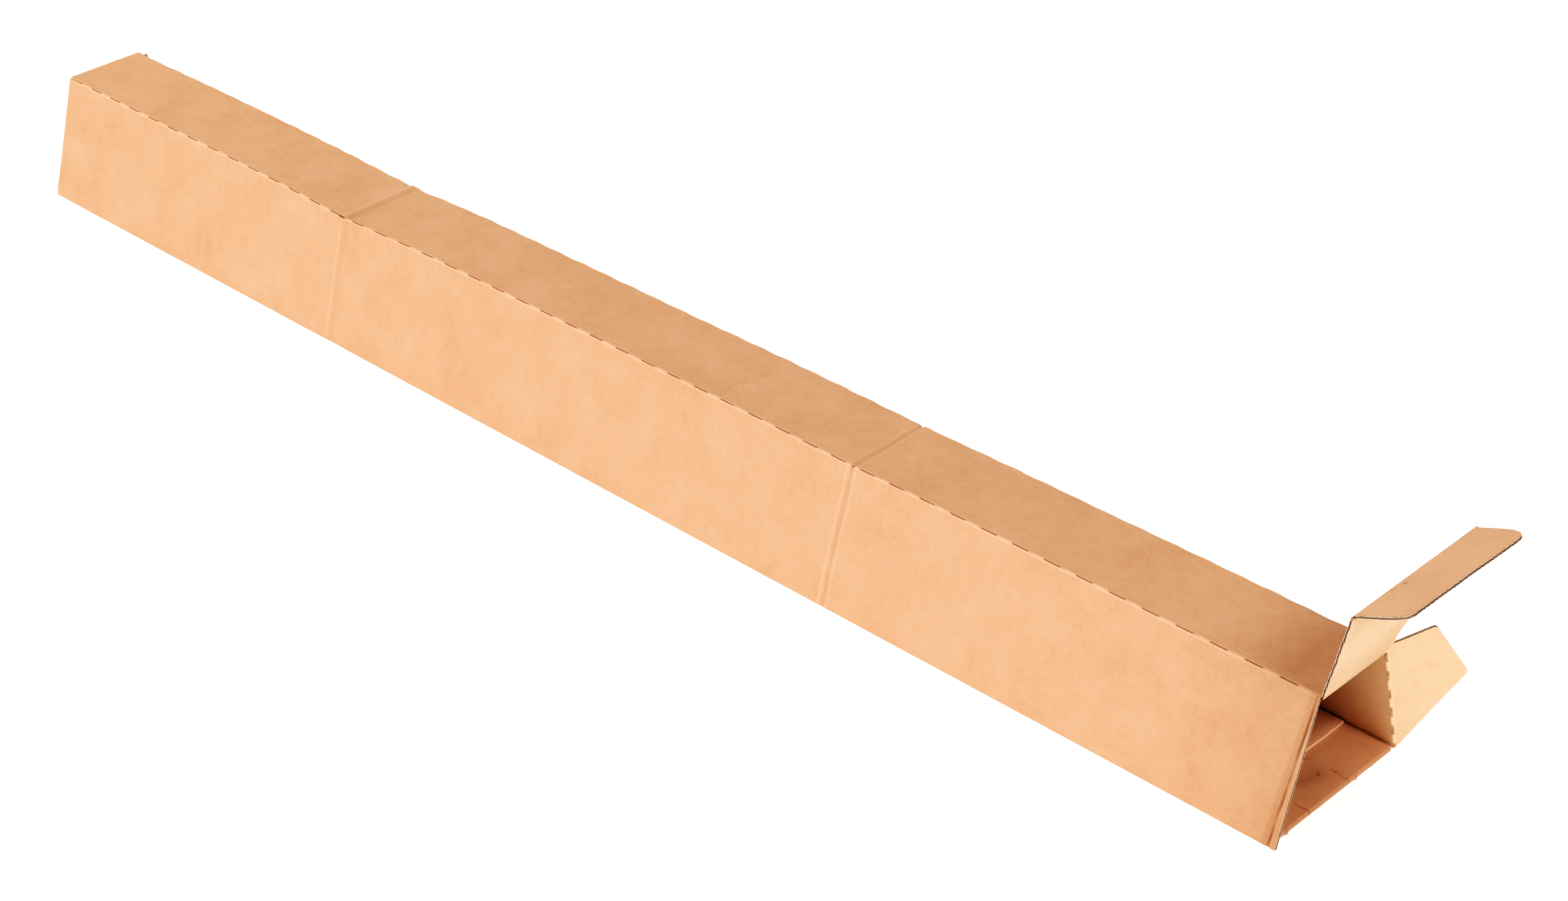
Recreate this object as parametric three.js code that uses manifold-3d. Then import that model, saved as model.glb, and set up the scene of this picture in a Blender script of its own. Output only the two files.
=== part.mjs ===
// Long trapezoid shipping box of corrugated board, about 1 m long, near end open.
// One folded sheet: a tube of trapezoid section, a scored dust flap and a turned-in
// floor flap at each end, and a lid with a tuck-in tongue on each end of the top panel.
// Millimetres. +X runs along the box to the open end, +Y across, +Z up, base on z = 0.
import * as THREE from "three";
import { mergeVertices } from "three/addons/utils/BufferGeometryUtils.js";
import Module from "manifold-3d";

const wasm = await Module();
wasm.setup();

// ---- driving dimensions ----
const LENGTH = 1003; // end to end over the board
const BASE_W = 108; // over the walls at the base
const TOP_W = 56.8; // over the walls at the top
const HEIGHT = 78.5;
const T = 1.55; // board thickness, fine flute
const FOLD_R = 2.0; // outer radius of the long folds

const WALL_SETBACK = 0.8; // cut end of the left wall, inside the nominal end
const AXIS_OUT = 0.3; // lid fold, outside the nominal end
const FOLD_GAP = 1.5; // flat end of a panel to the fold axis beside it
const CREASE_TOP = 2.4; // side-wall crease, set back at the top
const CREASE_BASE = 4.8; // and at the base

const FLOOR_NOSE = 3.7; // front of the turned-in floor flap
const FLOOR_FLAP = 75; // its depth
const STEP_AT = 32.2; // front edge of the inner floor layer
const FLOOR_L = -48.8;
const FLOOR_R = 49.4;

const LAP_HEIGHT = 30; // glued lap inside the left wall
const LAP_SETBACK = 46; // bare length at each end

const LID_LEN = 74.0; // lid fold axis to tongue fold axis
const LID_LEAN = 19.4; // open lid leans out from the vertical, degrees
const TONGUE_REACH = 29.2; // tongue fold axis to its free edge
const TONGUE_RISE = 22.4; // open tongue above the horizontal, degrees
const TONGUE_TUCK = 21; // tucked tongue above the horizontal, degrees

const FLAP_OPEN = 60; // open dust flap, turned out from the wall plane, degrees

const CREASE_X1 = -216; // pressed cross creases, from mid-length
const CREASE_X2 = 202.9;
const CREASE_DEPTH = 0.45;
const CREASE_WIDTH = 7;

const PERF_PITCH = 20.76; // perforated long folds: cut and uncut lengths
const PERF_CUT = 10.4;
const PERF_DEPTH = 0.9;
const PERF_WIDTH = 0.7;

const NEAR = LENGTH / 2;
const FAR = -LENGTH / 2;
const SLOPE = (BASE_W - TOP_W) / 2 / HEIGHT; // wall run per unit rise
const WALL_LEN = Math.hypot(HEIGHT, (BASE_W - TOP_W) / 2);
const COS = HEIGHT / WALL_LEN;
const SIN = (BASE_W - TOP_W) / 2 / WALL_LEN;
const WALL_Y = T / COS; // wall thickness measured across
const rad = THREE.MathUtils.degToRad;
const outerY = (z) => BASE_W / 2 - SLOPE * z;
const innerY = (z) => outerY(z) - WALL_Y;
const AXIS_Z = HEIGHT - T / 2;

// ---- solids ----
const solid = (geometry) => {
  const g = geometry.index ? geometry.toNonIndexed() : geometry;
  const bare = new THREE.BufferGeometry().setAttribute(
    "position",
    g.getAttribute("position"),
  );
  const merged = mergeVertices(bare, 1e-4);
  return new wasm.Manifold(
    new wasm.Mesh({
      numProp: 3,
      vertProperties: new Float32Array(merged.attributes.position.array),
      triVerts: new Uint32Array(merged.index.array),
    }),
  );
};

const joined = (list) => list.reduce((a, b) => a.add(b));

const geometryOf = (manifold) => {
  const m = manifold.getMesh();
  const g = new THREE.BufferGeometry();
  g.setAttribute("position", new THREE.BufferAttribute(m.vertProperties, 3));
  g.setIndex(new THREE.BufferAttribute(m.triVerts, 1));
  const flat = g.toNonIndexed();
  flat.computeVertexNormals();
  return flat;
};

const shapeOf = (points, hole) => {
  const s = new THREE.Shape(points.map(([a, b]) => new THREE.Vector2(a, b)));
  if (hole)
    s.holes.push(new THREE.Path(hole.map(([a, b]) => new THREE.Vector2(a, b))));
  return s;
};

// a (Y, Z) outline run from x0 to x1
const alongX = (points, x0, x1, hole) => {
  const g = new THREE.ExtrudeGeometry(shapeOf(points, hole), {
    depth: x1 - x0,
    bevelEnabled: false,
  });
  g.applyMatrix4(
    new THREE.Matrix4().set(0, 0, 1, x0, 1, 0, 0, 0, 0, 1, 0, 0, 0, 0, 0, 1),
  );
  return solid(g);
};

// an (X, Z) outline run from y0 to y1
const acrossY = (points, y0, y1) => {
  const g = new THREE.ExtrudeGeometry(shapeOf(points), {
    depth: y1 - y0,
    bevelEnabled: false,
  });
  g.applyMatrix4(
    new THREE.Matrix4().set(1, 0, 0, 0, 0, 0, -1, y1, 0, 1, 0, 0, 0, 0, 0, 1),
  );
  return solid(g);
};

// a flat outline in the plane of u and v, thickened along u x v from w0 to w1
const plate = (points, origin, u, v, w0, w1) => {
  const g = new THREE.ExtrudeGeometry(shapeOf(points), {
    depth: w1 - w0,
    bevelEnabled: false,
  });
  const w = new THREE.Vector3().crossVectors(u, v).normalize();
  const at = origin.clone().addScaledVector(w, w0);
  g.applyMatrix4(new THREE.Matrix4().makeBasis(u, v, w).setPosition(at));
  return solid(g);
};

// outline points with each listed corner rounded: [y, z, radius]
const rounded = (corners, segments = 4) => {
  const out = [];
  const n = corners.length;
  corners.forEach(([a, b, r], i) => {
    if (!r) {
      out.push([a, b]);
      return;
    }
    const p = new THREE.Vector2(a, b);
    const before = new THREE.Vector2(...corners[(i + n - 1) % n]).sub(p);
    const after = new THREE.Vector2(...corners[(i + 1) % n]).sub(p);
    before.normalize();
    after.normalize();
    const half = before.angleTo(after) / 2;
    const run = r / Math.tan(half);
    const bisector = before.clone().add(after).normalize();
    const centre = p.clone().addScaledVector(bisector, r / Math.sin(half));
    const start = p.clone().addScaledVector(before, run).sub(centre);
    const end = p.clone().addScaledVector(after, run).sub(centre);
    let turn = end.angle() - start.angle();
    if (turn > Math.PI) turn -= 2 * Math.PI;
    if (turn < -Math.PI) turn += 2 * Math.PI;
    for (let k = 0; k <= segments; k++) {
      const q = start.clone().rotateAround(new THREE.Vector2(), (turn * k) / segments);
      out.push([centre.x + q.x, centre.y + q.y]);
    }
  });
  return out;
};

// ---- tube section ----
// The left wall ends in a cut edge at the base; the base folds up beside it into the lap.
const cutOuter = [-BASE_W / 2 + SLOPE * T * SIN, T * SIN];
const cutInner = [cutOuter[0] + T * COS, 0];
const sectionOuter = rounded([
  cutOuter,
  cutInner,
  [cutInner[0] + 0.25, 0.8],
  [cutInner[0] + 0.9, 0.25],
  [cutInner[0] + 1.7, 0],
  [BASE_W / 2, 0, FOLD_R],
  [TOP_W / 2, HEIGHT, FOLD_R],
  [-TOP_W / 2, HEIGHT, FOLD_R],
]);
const sectionInner = rounded([
  [-innerY(T), T, 0.5],
  [innerY(T), T, 0.5],
  [innerY(HEIGHT - T), HEIGHT - T, 0.5],
  [-innerY(HEIGHT - T), HEIGHT - T, 0.5],
], 2);
let tube = alongX(
  sectionOuter,
  FAR + WALL_SETBACK,
  NEAR - WALL_SETBACK,
  sectionInner,
);

// glued lap on the inside of the left wall
const lap = alongX(
  [
    [-innerY(0.8) - 0.4, 0.8],
    [-innerY(0.8) + WALL_Y, 0.8],
    [-innerY(LAP_HEIGHT) + WALL_Y, LAP_HEIGHT],
    [-innerY(LAP_HEIGHT) - 0.4, LAP_HEIGHT],
  ],
  FAR + LAP_SETBACK,
  NEAR - LAP_SETBACK,
);
tube = tube.add(lap);

// ---- the two ends, s = +1 at the open end and -1 at the closed end ----
const end = (s) => {
  const X = (back) => s * (NEAR - back);
  const box = (b0, b1, y0, y1, z0, z1) =>
    acrossY(
      [
        [X(b0), z0],
        [X(b1), z0],
        [X(b1), z1],
        [X(b0), z1],
      ],
      y0,
      y1,
    );
  const noseBack = FLOOR_NOSE + T;
  // top panel stops short of the lid fold; base stops at the turn of its flap;
  // right wall stops on its slanted crease
  const cuts = [
    box(FOLD_GAP - AXIS_OUT, -6, -60, 60, HEIGHT - T - 0.3, HEIGHT + 2),
    box(noseBack, -6, cutInner[0] + 0.25, 60, -2, T + 0.02),
    acrossY(
      [
        [X(CREASE_BASE), 0],
        [X(CREASE_BASE - 0.3), -3],
        [X(-6), -3],
        [X(-6), HEIGHT + 3],
        [X(CREASE_TOP), HEIGHT + 3],
        [X(CREASE_TOP), HEIGHT],
      ],
      TOP_W / 2 - 3.2,
      60,
    ),
  ];
  // floor flap, turned in through 180 degrees, with the inner layer on it
  const nose = [];
  for (let k = 0; k <= 8; k++) {
    const a = -Math.PI / 2 + (Math.PI * k) / 8;
    nose.push([X(noseBack - T * Math.cos(a)), T + T * Math.sin(a)]);
  }
  const floor = acrossY(
    [
      [X(FLOOR_FLAP), 0.7 * T],
      [X(noseBack + 0.6), 0.7 * T],
      [X(noseBack + 0.6), 0],
      ...nose,
      [X(FLOOR_FLAP), 2 * T],
    ],
    FLOOR_L,
    FLOOR_R,
  );
  const layer = acrossY(
    [
      [X(FLOOR_FLAP), 1.8 * T],
      [X(STEP_AT), 1.8 * T],
      [X(STEP_AT), 3 * T],
      [X(FLOOR_FLAP), 3 * T],
    ],
    FLOOR_L,
    FLOOR_R,
  );
  return { cuts, adds: [floor, layer] };
};

// ---- dust flaps, on the right wall ----
const dustFlap = (s, turn, outline) => {
  const low = new THREE.Vector3(s * (NEAR - CREASE_BASE), innerY(0), 0);
  const high = new THREE.Vector3(s * (NEAR - CREASE_TOP), innerY(HEIGHT), HEIGHT);
  const up = high.clone().sub(low).normalize();
  const out = new THREE.Vector3(0, COS, SIN);
  const along = new THREE.Vector3().crossVectors(out, up).multiplyScalar(1);
  if (along.x * s < 0) along.negate();
  const dir = along
    .clone()
    .multiplyScalar(Math.cos(turn))
    .addScaledVector(out, Math.sin(turn))
    .normalize();
  const upright = up.clone().addScaledVector(dir, -up.dot(dir)).normalize();
  // thickness lies on the outer side of the crease
  const w = new THREE.Vector3().crossVectors(dir, upright);
  const outside = along
    .clone()
    .multiplyScalar(-Math.sin(turn))
    .addScaledVector(out, Math.cos(turn));
  return w.dot(outside) > 0
    ? plate(outline, low, dir, upright, -0.05, T)
    : plate(outline, low, dir, upright, -T, 0.05);
};

// distance from the crease, height along it
const openFlap = dustFlap(1, rad(FLAP_OPEN), [
  [0, 0.6],
  [40.2, 36.6],
  [42.2, 40.4],
  [28.6, 80.4],
  [26.4, 82.0],
  [0, 82.0],
]);
// folded square across the closed end, behind the lid
const shutFlap = dustFlap(-1, rad(-90), [
  [-0.95 * T, 14],
  [0, 14],
  [36, 44],
  [38, 48],
  [27, 76],
  [0, 80],
  [-0.95 * T, 80],
]);

// ---- cross creases: shallow V grooves over the top and both walls ----
const groove = (x) => {
  const w = CREASE_WIDTH / 2;
  const v = [
    [x - w, 0.6],
    [x - w, 0],
    [x, -CREASE_DEPTH],
    [x + w, 0],
    [x + w, 0.6],
  ];
  const U = new THREE.Vector3(1, 0, 0);
  const overTop = plate(
    v,
    new THREE.Vector3(0, 0, HEIGHT),
    U,
    new THREE.Vector3(0, 0, 1),
    -TOP_W / 2 - 2,
    TOP_W / 2 + 2,
  );
  const onLeft = plate(
    v,
    new THREE.Vector3(0, -BASE_W / 2, 0),
    U,
    new THREE.Vector3(0, -COS, SIN),
    -WALL_LEN - 2,
    2,
  );
  const onRight = plate(
    v,
    new THREE.Vector3(0, BASE_W / 2, 0),
    U,
    new THREE.Vector3(0, COS, SIN),
    -2,
    WALL_LEN + 2,
  );
  return [overTop, onLeft, onRight];
};

// ---- perforation of the three long folds ----
const perforation = (y, z, nx, nz) => {
  const cuts = [];
  const out = new THREE.Vector3(0, nx, nz).normalize();
  const side = new THREE.Vector3(0, -out.z, out.y);
  const reach = FOLD_R * 0.42;
  for (let x = FAR + 24.1; x < NEAR - 23; x += PERF_PITCH)
    cuts.push(
      plate(
        [
          [0, -PERF_WIDTH / 2],
          [PERF_CUT, -PERF_WIDTH / 2],
          [PERF_CUT, PERF_WIDTH / 2],
          [0, PERF_WIDTH / 2],
        ],
        new THREE.Vector3(x, y, z).addScaledVector(out, -reach),
        new THREE.Vector3(1, 0, 0),
        side,
        -PERF_DEPTH,
        2,
      ),
    );
  return cuts;
};

// ---- body ----
const nearEnd = end(1);
const farEnd = end(-1);
let body = joined([tube, ...nearEnd.adds, ...farEnd.adds]);
for (const c of [...nearEnd.cuts, ...farEnd.cuts]) body = body.subtract(c);
body = joined([body, ...nearEnd.adds, ...farEnd.adds, openFlap, shutFlap]);
for (const c of [...groove(CREASE_X1), ...groove(CREASE_X2)])
  body = body.subtract(c);
const perf = [
  ...perforation(TOP_W / 2, HEIGHT, Math.cos(rad(54)), Math.sin(rad(54))),
  ...perforation(-TOP_W / 2, HEIGHT, -Math.cos(rad(54)), Math.sin(rad(54))),
  ...perforation(BASE_W / 2, 0, Math.cos(rad(-36)), Math.sin(rad(-36))),
];
for (const c of perf) body = body.subtract(c);

// ---- lid: Y across, r away from its fold axis ----
// straight left edge, right edge with the curved neck that clears the dust flap
const LID_OUTLINE = [
  [-28.2, 0],
  [-51.6, LID_LEN - FOLD_GAP],
  [52.0, LID_LEN - FOLD_GAP],
  [49.8, 65],
  [46.4, 54],
  [42.6, 44],
  [38.2, 35],
  [33.6, 28],
  [29.9, 23],
  [27.4, 18.5],
  [26.4, 14],
  [26.3, 9.5],
  [26.6, 5.5],
  [25.4, 2.4],
  [24.2, 0],
];
const TONGUE_OUTLINE = [
  [-50.2, 0],
  [-49.4, 6],
  [-48.3, 18],
  [-47.6, 23],
  [-46.0, 26.4],
  [-43.4, 28.4],
  [-40.0, TONGUE_REACH],
  [40.0, TONGUE_REACH],
  [43.4, 28.4],
  [46.0, 26.4],
  [47.6, 23],
  [48.3, 18],
  [49.4, 6],
  [50.2, 0],
];

const foldBar = (y0, y1) => {
  const g = new THREE.CylinderGeometry(T / 2, T / 2, y1 - y0, 16);
  g.translate(0, (y0 + y1) / 2, 0);
  return solid(g);
};

// a flap hanging from a fold axis on the local Y axis, running along local +Z
const flapOn = (outline) => {
  const y0 = Math.min(...outline.filter((p) => p[1] === 0).map((p) => p[0]));
  const y1 = Math.max(...outline.filter((p) => p[1] === 0).map((p) => p[0]));
  const sheet = plate(
    outline,
    new THREE.Vector3(),
    new THREE.Vector3(0, 1, 0),
    new THREE.Vector3(0, 0, 1),
    -T / 2,
    T / 2,
  );
  return sheet.add(foldBar(y0, y1));
};

// ---- scene ----
const kraft = (color, roughness) =>
  new THREE.MeshStandardMaterial({ color, roughness, metalness: 0 });

const group = new THREE.Group();
const named = (name, geometry, material, parent = group) => {
  const mesh = new THREE.Mesh(geometry, material);
  mesh.name = name;
  parent.add(mesh);
  return mesh;
};

named("box_body", geometryOf(body), kraft(0xd7a273, 0.85));

// local +Z of each frame points along the flap, turned about Y
const frameAt = (x, z, degrees) => {
  const g = new THREE.Group();
  g.position.set(x, 0, z);
  g.rotation.y = rad(degrees);
  return g;
};

const lidGeometry = geometryOf(flapOn(LID_OUTLINE));
const tongueGeometry = geometryOf(flapOn(TONGUE_OUTLINE));
// the closed end is the open end turned left for right
const farLidGeometry = lidGeometry.clone();
const farTongueGeometry = tongueGeometry.clone();

const nearLidFrame = frameAt(NEAR + AXIS_OUT, AXIS_Z, LID_LEAN);
group.add(nearLidFrame);
named("near_lid", lidGeometry, kraft(0xf4d3aa, 0.85), nearLidFrame);
const nearTongueFrame = frameAt(0, LID_LEN, 90 - TONGUE_RISE - LID_LEAN);
nearTongueFrame.position.set(0, 0, LID_LEN);
nearLidFrame.add(nearTongueFrame);
named("near_tongue", tongueGeometry, kraft(0xdbab80, 0.85), nearTongueFrame);

const farLidFrame = frameAt(FAR - AXIS_OUT, AXIS_Z, 180);
group.add(farLidFrame);
named("far_lid", farLidGeometry, kraft(0xd7a273, 0.85), farLidFrame);
const farTongueFrame = frameAt(0, LID_LEN, -(90 + TONGUE_TUCK));
farLidFrame.add(farTongueFrame);
named("far_tongue", farTongueGeometry, kraft(0xd7a273, 0.85), farTongueFrame);

export default group;
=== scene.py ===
import bpy, math, random
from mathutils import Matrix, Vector, noise


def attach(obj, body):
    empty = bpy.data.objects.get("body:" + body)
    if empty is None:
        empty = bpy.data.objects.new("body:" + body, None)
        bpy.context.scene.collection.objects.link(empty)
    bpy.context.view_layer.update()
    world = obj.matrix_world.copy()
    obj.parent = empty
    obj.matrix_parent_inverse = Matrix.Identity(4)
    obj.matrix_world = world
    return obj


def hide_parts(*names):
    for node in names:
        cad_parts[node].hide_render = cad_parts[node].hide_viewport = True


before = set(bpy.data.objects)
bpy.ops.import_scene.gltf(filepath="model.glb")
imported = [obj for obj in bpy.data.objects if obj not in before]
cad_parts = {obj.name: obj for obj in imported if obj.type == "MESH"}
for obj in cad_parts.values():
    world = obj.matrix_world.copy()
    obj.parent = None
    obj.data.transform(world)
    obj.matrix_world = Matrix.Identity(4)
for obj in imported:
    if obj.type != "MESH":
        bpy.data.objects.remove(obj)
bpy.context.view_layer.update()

scene = bpy.context.scene

# ------------------------------------------------------------------ dimensions, mm
T = 1.55
H = 78.5
WB = 54.0            # half width at the base
WT = 28.4            # half width at the top
XE = 501.5           # end of the box
SL = (WB - WT) / H
WALL = math.hypot(H, WB - WT)
CW, SW = H / WALL, (WB - WT) / WALL
C1, C2 = -216.5, 202.9   # cross creases
PITCH = 20.76             # perforation of the long folds
CUT0 = -XE + 24.1        # where its first cut starts
rnd = random.Random(7)


def n3(x, y, z, s=1.0):
    return noise.noise(Vector((x * s, y * s, z * s)))


def smooth(a, b, x):
    t = max(0.0, min(1.0, (x - a) / (b - a)))
    return t * t * (3 - 2 * t)


def bump(x, c, w):
    d = (x - c) / w
    return math.exp(-d * d)


# ------------------------------------------------------------------ camera
cam_data = bpy.data.cameras.new("camera")
cam_data.sensor_width = 36.0
cam_data.lens = 4861.0 / 2534.0 * 36.0
cam_data.clip_start, cam_data.clip_end = 0.05, 20.0
cam = bpy.data.objects.new("camera", cam_data)
scene.collection.objects.link(cam)
AZ, EL = math.radians(43.496), math.radians(32.018)
back = Vector((math.sin(AZ) * math.cos(EL), -math.cos(AZ) * math.cos(EL), math.sin(EL)))
target = Vector((0.501500 - 0.377185, 0.0, 0.040537))
cam.location = target + back * 1.678214
cam.rotation_mode = "QUATERNION"
cam.rotation_quaternion = (-back).to_track_quat("-Z", "Y")
scene.camera = cam


# ------------------------------------------------------------------ node helpers
def new_mat(name):
    m = bpy.data.materials.new(name)
    m.use_nodes = True
    nt = m.node_tree
    nt.nodes.clear()
    out = nt.nodes.new("ShaderNodeOutputMaterial")
    b = nt.nodes.new("ShaderNodeBsdfPrincipled")
    nt.links.new(b.outputs[0], out.inputs[0])
    b.inputs["Specular IOR Level"].default_value = 0.25
    return m, nt, b


def lin(c):
    out = []
    for v in c:
        v = v / 255.0
        out.append(v / 12.92 if v <= 0.04045 else ((v + 0.055) / 1.055) ** 2.4)
    return (*out, 1.0)


class G:
    """short hand for building node graphs"""

    def __init__(self, nt):
        self.nt = nt
        self.geo = nt.nodes.new("ShaderNodeTexCoord").outputs["Object"]

    def link(self, a, b):
        self.nt.links.new(a, b)

    def put(self, node, key, v):
        s = node.inputs[key]
        if isinstance(v, (int, float, tuple)):
            s.default_value = v
        else:
            self.link(v, s)

    def mapping(self, scale, src=None, loc=(0, 0, 0)):
        m = self.nt.nodes.new("ShaderNodeMapping")
        m.inputs["Scale"].default_value = scale
        m.inputs["Location"].default_value = loc
        self.link(src or self.geo, m.inputs["Vector"])
        return m.outputs[0]

    def noise(self, scale, detail=3.0, rough=0.55, vec=None, distortion=0.0):
        n = self.nt.nodes.new("ShaderNodeTexNoise")
        n.inputs["Scale"].default_value = scale
        n.inputs["Detail"].default_value = detail
        n.inputs["Roughness"].default_value = rough
        n.inputs["Distortion"].default_value = distortion
        self.link(vec or self.geo, n.inputs["Vector"])
        return n.outputs["Fac"]

    def voronoi(self, scale, vec=None, feature="F1"):
        n = self.nt.nodes.new("ShaderNodeTexVoronoi")
        n.feature = feature
        n.inputs["Scale"].default_value = scale
        self.link(vec or self.geo, n.inputs["Vector"])
        return n.outputs["Distance"]

    def ramp(self, fac, stops):
        r = self.nt.nodes.new("ShaderNodeValToRGB")
        e = r.color_ramp.elements
        while len(e) < len(stops):
            e.new(0.5)
        for el, (p, c) in zip(e, stops):
            el.position = p
            el.color = c if isinstance(c, tuple) else (c, c, c, 1)
        self.link(fac, r.inputs[0])
        return r.outputs[0]

    def mix(self, fac, a, b, mode="MIX"):
        m = self.nt.nodes.new("ShaderNodeMix")
        m.data_type = "RGBA"
        m.blend_type = mode
        for key, v in ((0, fac), (6, a), (7, b)):
            s = m.inputs[key]
            if isinstance(v, (int, float)):
                s.default_value = v if key == 0 else (v, v, v, 1)
            elif isinstance(v, tuple):
                s.default_value = v
            else:
                self.link(v, s)
        return m.outputs[2]

    def math(self, op, a, b=0.0, clamp=False):
        m = self.nt.nodes.new("ShaderNodeMath")
        m.operation = op
        m.use_clamp = clamp
        for k, v in ((0, a), (1, b)):
            if isinstance(v, (int, float)):
                m.inputs[k].default_value = v
            else:
                self.link(v, m.inputs[k])
        return m.outputs[0]

    def attr(self, name):
        a = self.nt.nodes.new("ShaderNodeAttribute")
        a.attribute_name = name
        return a.outputs["Fac"]

    def bump(self, height, strength, distance, normal=None):
        b = self.nt.nodes.new("ShaderNodeBump")
        b.inputs["Strength"].default_value = strength
        b.inputs["Distance"].default_value = distance
        self.link(height, b.inputs["Height"])
        if normal is not None:
            self.link(normal, b.inputs["Normal"])
        return b.outputs[0]


# ------------------------------------------------------------------ materials
def paper(name, base, cloud_dark, cloud_light, fibre_amount, wash, inner=False):
    """Paper liner. Two point attributes tint it: the first lifts the colour along worn folds and as painted light,
    the second darkens it for dirt, marks and painted shade; 'u' and 'v' run across and along the flutes, in mm."""
    m, nt, b = new_mat(name)
    g = G(nt)
    uv = nt.nodes.new("ShaderNodeUVMap")
    uv.uv_map = "board"
    board = uv.outputs[0]           # u across the flutes, v along them, in metres
    # clouds: the formation of the sheet, 3 to 25 mm
    big = g.noise(32, 4.0, 0.6)
    mid = g.noise(150, 3.0, 0.62)
    small = g.noise(620, 3.0, 0.6)
    c = g.ramp(big, [(0.3, cloud_dark), (0.52, base), (0.74, cloud_light)])
    c = g.mix(0.32, c, g.ramp(mid, [(0.3, cloud_dark), (0.5, base), (0.72, cloud_light)]))
    c = g.mix(0.30, c, g.ramp(small, [(0.3, cloud_dark), (0.5, base), (0.72, cloud_light)]))
    # fibres: fine streaks lying mostly along the length, and a crossing set
    f1 = g.noise(1, 4.0, 0.7, g.mapping((520, 5200, 1), board), 0.6)
    f2 = g.noise(1, 4.0, 0.7, g.mapping((4200, 760, 1), board), 0.8)
    fib = g.mix(0.5, g.ramp(f1, [(0.38, 0.0), (0.62, 1.0)]), g.ramp(f2, [(0.38, 0.0), (0.62, 1.0)]))
    c = g.mix(fibre_amount, c, g.mix(fib, cloud_dark, cloud_light))
    # specks and slivers of bark in the pulp
    sp = g.voronoi(420, g.mapping((1.0, 1.35, 1.0)))
    dots = g.ramp(sp, [(0.045, 1.0), (0.09, 0.0)])
    pick = g.ramp(g.noise(230, 1.0, 0.5), [(0.56, 0.0), (0.62, 1.0)])
    dots = g.math("MULTIPLY", dots, pick)
    c = g.mix(g.math("MULTIPLY", dots, 0.45 if not inner else 0.3), c, tuple(v * 0.42 for v in cloud_dark[:3]) + (1,))
    lt = g.ramp(g.voronoi(360, g.mapping((1.0, 1.0, 1.2), loc=(3, 1, 7))), [(0.04, 1.0), (0.085, 0.0)])
    c = g.mix(g.math("MULTIPLY", lt, 0.3), c, tuple(min(1.0, v * 1.25) for v in cloud_light[:3]) + (1,))
    # flute lines showing through the liner
    sep = nt.nodes.new("ShaderNodeSeparateXYZ")
    g.link(board, sep.inputs[0])
    wave = g.math("SINE", g.math("MULTIPLY", sep.outputs[0], 2 * math.pi / 0.0034))
    amp = g.ramp(g.noise(14, 2.0, 0.5), [(0.35, 0.35), (0.7, 1.0)])
    line = g.math("MULTIPLY", wave, amp)
    c = g.mix(g.math("MULTIPLY", g.math("ADD", line, 1.0), wash * 0.5), c, cloud_dark)
    # worn lightening, dirt and marks, and painted light and shade, all from two mesh attributes
    wear, soil_and_painted_shade = g.attr("wear"), g.attr("soil_and_painted_shade")
    grit = g.ramp(g.noise(900, 3.0, 0.65), [(0.32, 0.35), (0.62, 1.0)])
    c = g.mix(g.math("MULTIPLY", wear, grit, True), c, tuple(min(1.0, v * 1.22 + 0.03) for v in cloud_light[:3]) + (1,))
    dark = tuple(v * f for v, f in zip(cloud_dark[:3], (0.36, 0.25, 0.17))) + (1,)
    c = g.mix(g.math("MULTIPLY", soil_and_painted_shade, 1.0, True), c, dark)
    g.link(c, b.inputs["Base Color"])
    r = g.ramp(g.noise(260, 3.0, 0.6), [(0.3, 0.78), (0.7, 0.93)])
    g.link(r, b.inputs["Roughness"])
    # relief
    h = g.math("ADD", g.math("MULTIPLY", fib, 0.35), g.math("MULTIPLY", g.noise(1700, 4.0, 0.7), 0.8))
    nrm = g.bump(h, 0.42, 0.00010)
    nrm = g.bump(g.noise(210, 3.0, 0.6), 0.35, 0.00030, nrm)
    nrm = g.bump(line, 0.5, 0.000022, nrm)
    g.link(nrm, b.inputs["Normal"])
    return m


KRAFT = paper("kraft_outside", lin((212, 169, 140)), lin((202, 157, 127)), lin((220, 179, 152)), 0.14, 0.04)
CREAM = paper("cream_inside", lin((233, 198, 166)), lin((225, 187, 152)), lin((240, 208, 178)), 0.12, 0.04, inner=True)


def edge_mat():
    """Cut edge of the board: grey-brown, rough and fibrous."""
    m, nt, b = new_mat("cut_edge")
    g = G(nt)
    n = g.noise(900, 4.0, 0.7)
    c = g.ramp(n, [(0.3, lin((168, 144, 128))), (0.5, lin((204, 182, 162))), (0.7, lin((240, 224, 204)))])
    soil_and_painted_shade = g.attr("soil_and_painted_shade")
    c = g.mix(g.math("MULTIPLY", soil_and_painted_shade, 1.0, True), c, lin((60, 36, 22)))
    g.link(c, b.inputs["Base Color"])
    g.link(g.ramp(g.noise(500, 2.0, 0.5), [(0.3, 0.85), (0.7, 0.97)]), b.inputs["Roughness"])
    g.link(g.bump(g.noise(2600, 4.0, 0.75), 0.8, 0.00018), b.inputs["Normal"])
    return m


def flute_mat():
    """The corrugated medium between the liners: darker brown paper."""
    m, nt, b = new_mat("flute_medium")
    g = G(nt)
    c = g.ramp(g.noise(700, 4.0, 0.7), [(0.3, lin((150, 128, 116))), (0.6, lin((182, 160, 146))), (0.75, lin((212, 194, 180)))])
    g.link(c, b.inputs["Base Color"])
    g.link(g.ramp(g.noise(500, 2.0, 0.5), [(0.3, 0.85), (0.7, 0.97)]), b.inputs["Roughness"])
    g.link(g.bump(g.noise(2000, 4.0, 0.7), 0.6, 0.00012), b.inputs["Normal"])
    return m


EDGE = edge_mat()
FLUTE = flute_mat()
MATS = [KRAFT, CREAM, EDGE, FLUTE]


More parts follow.
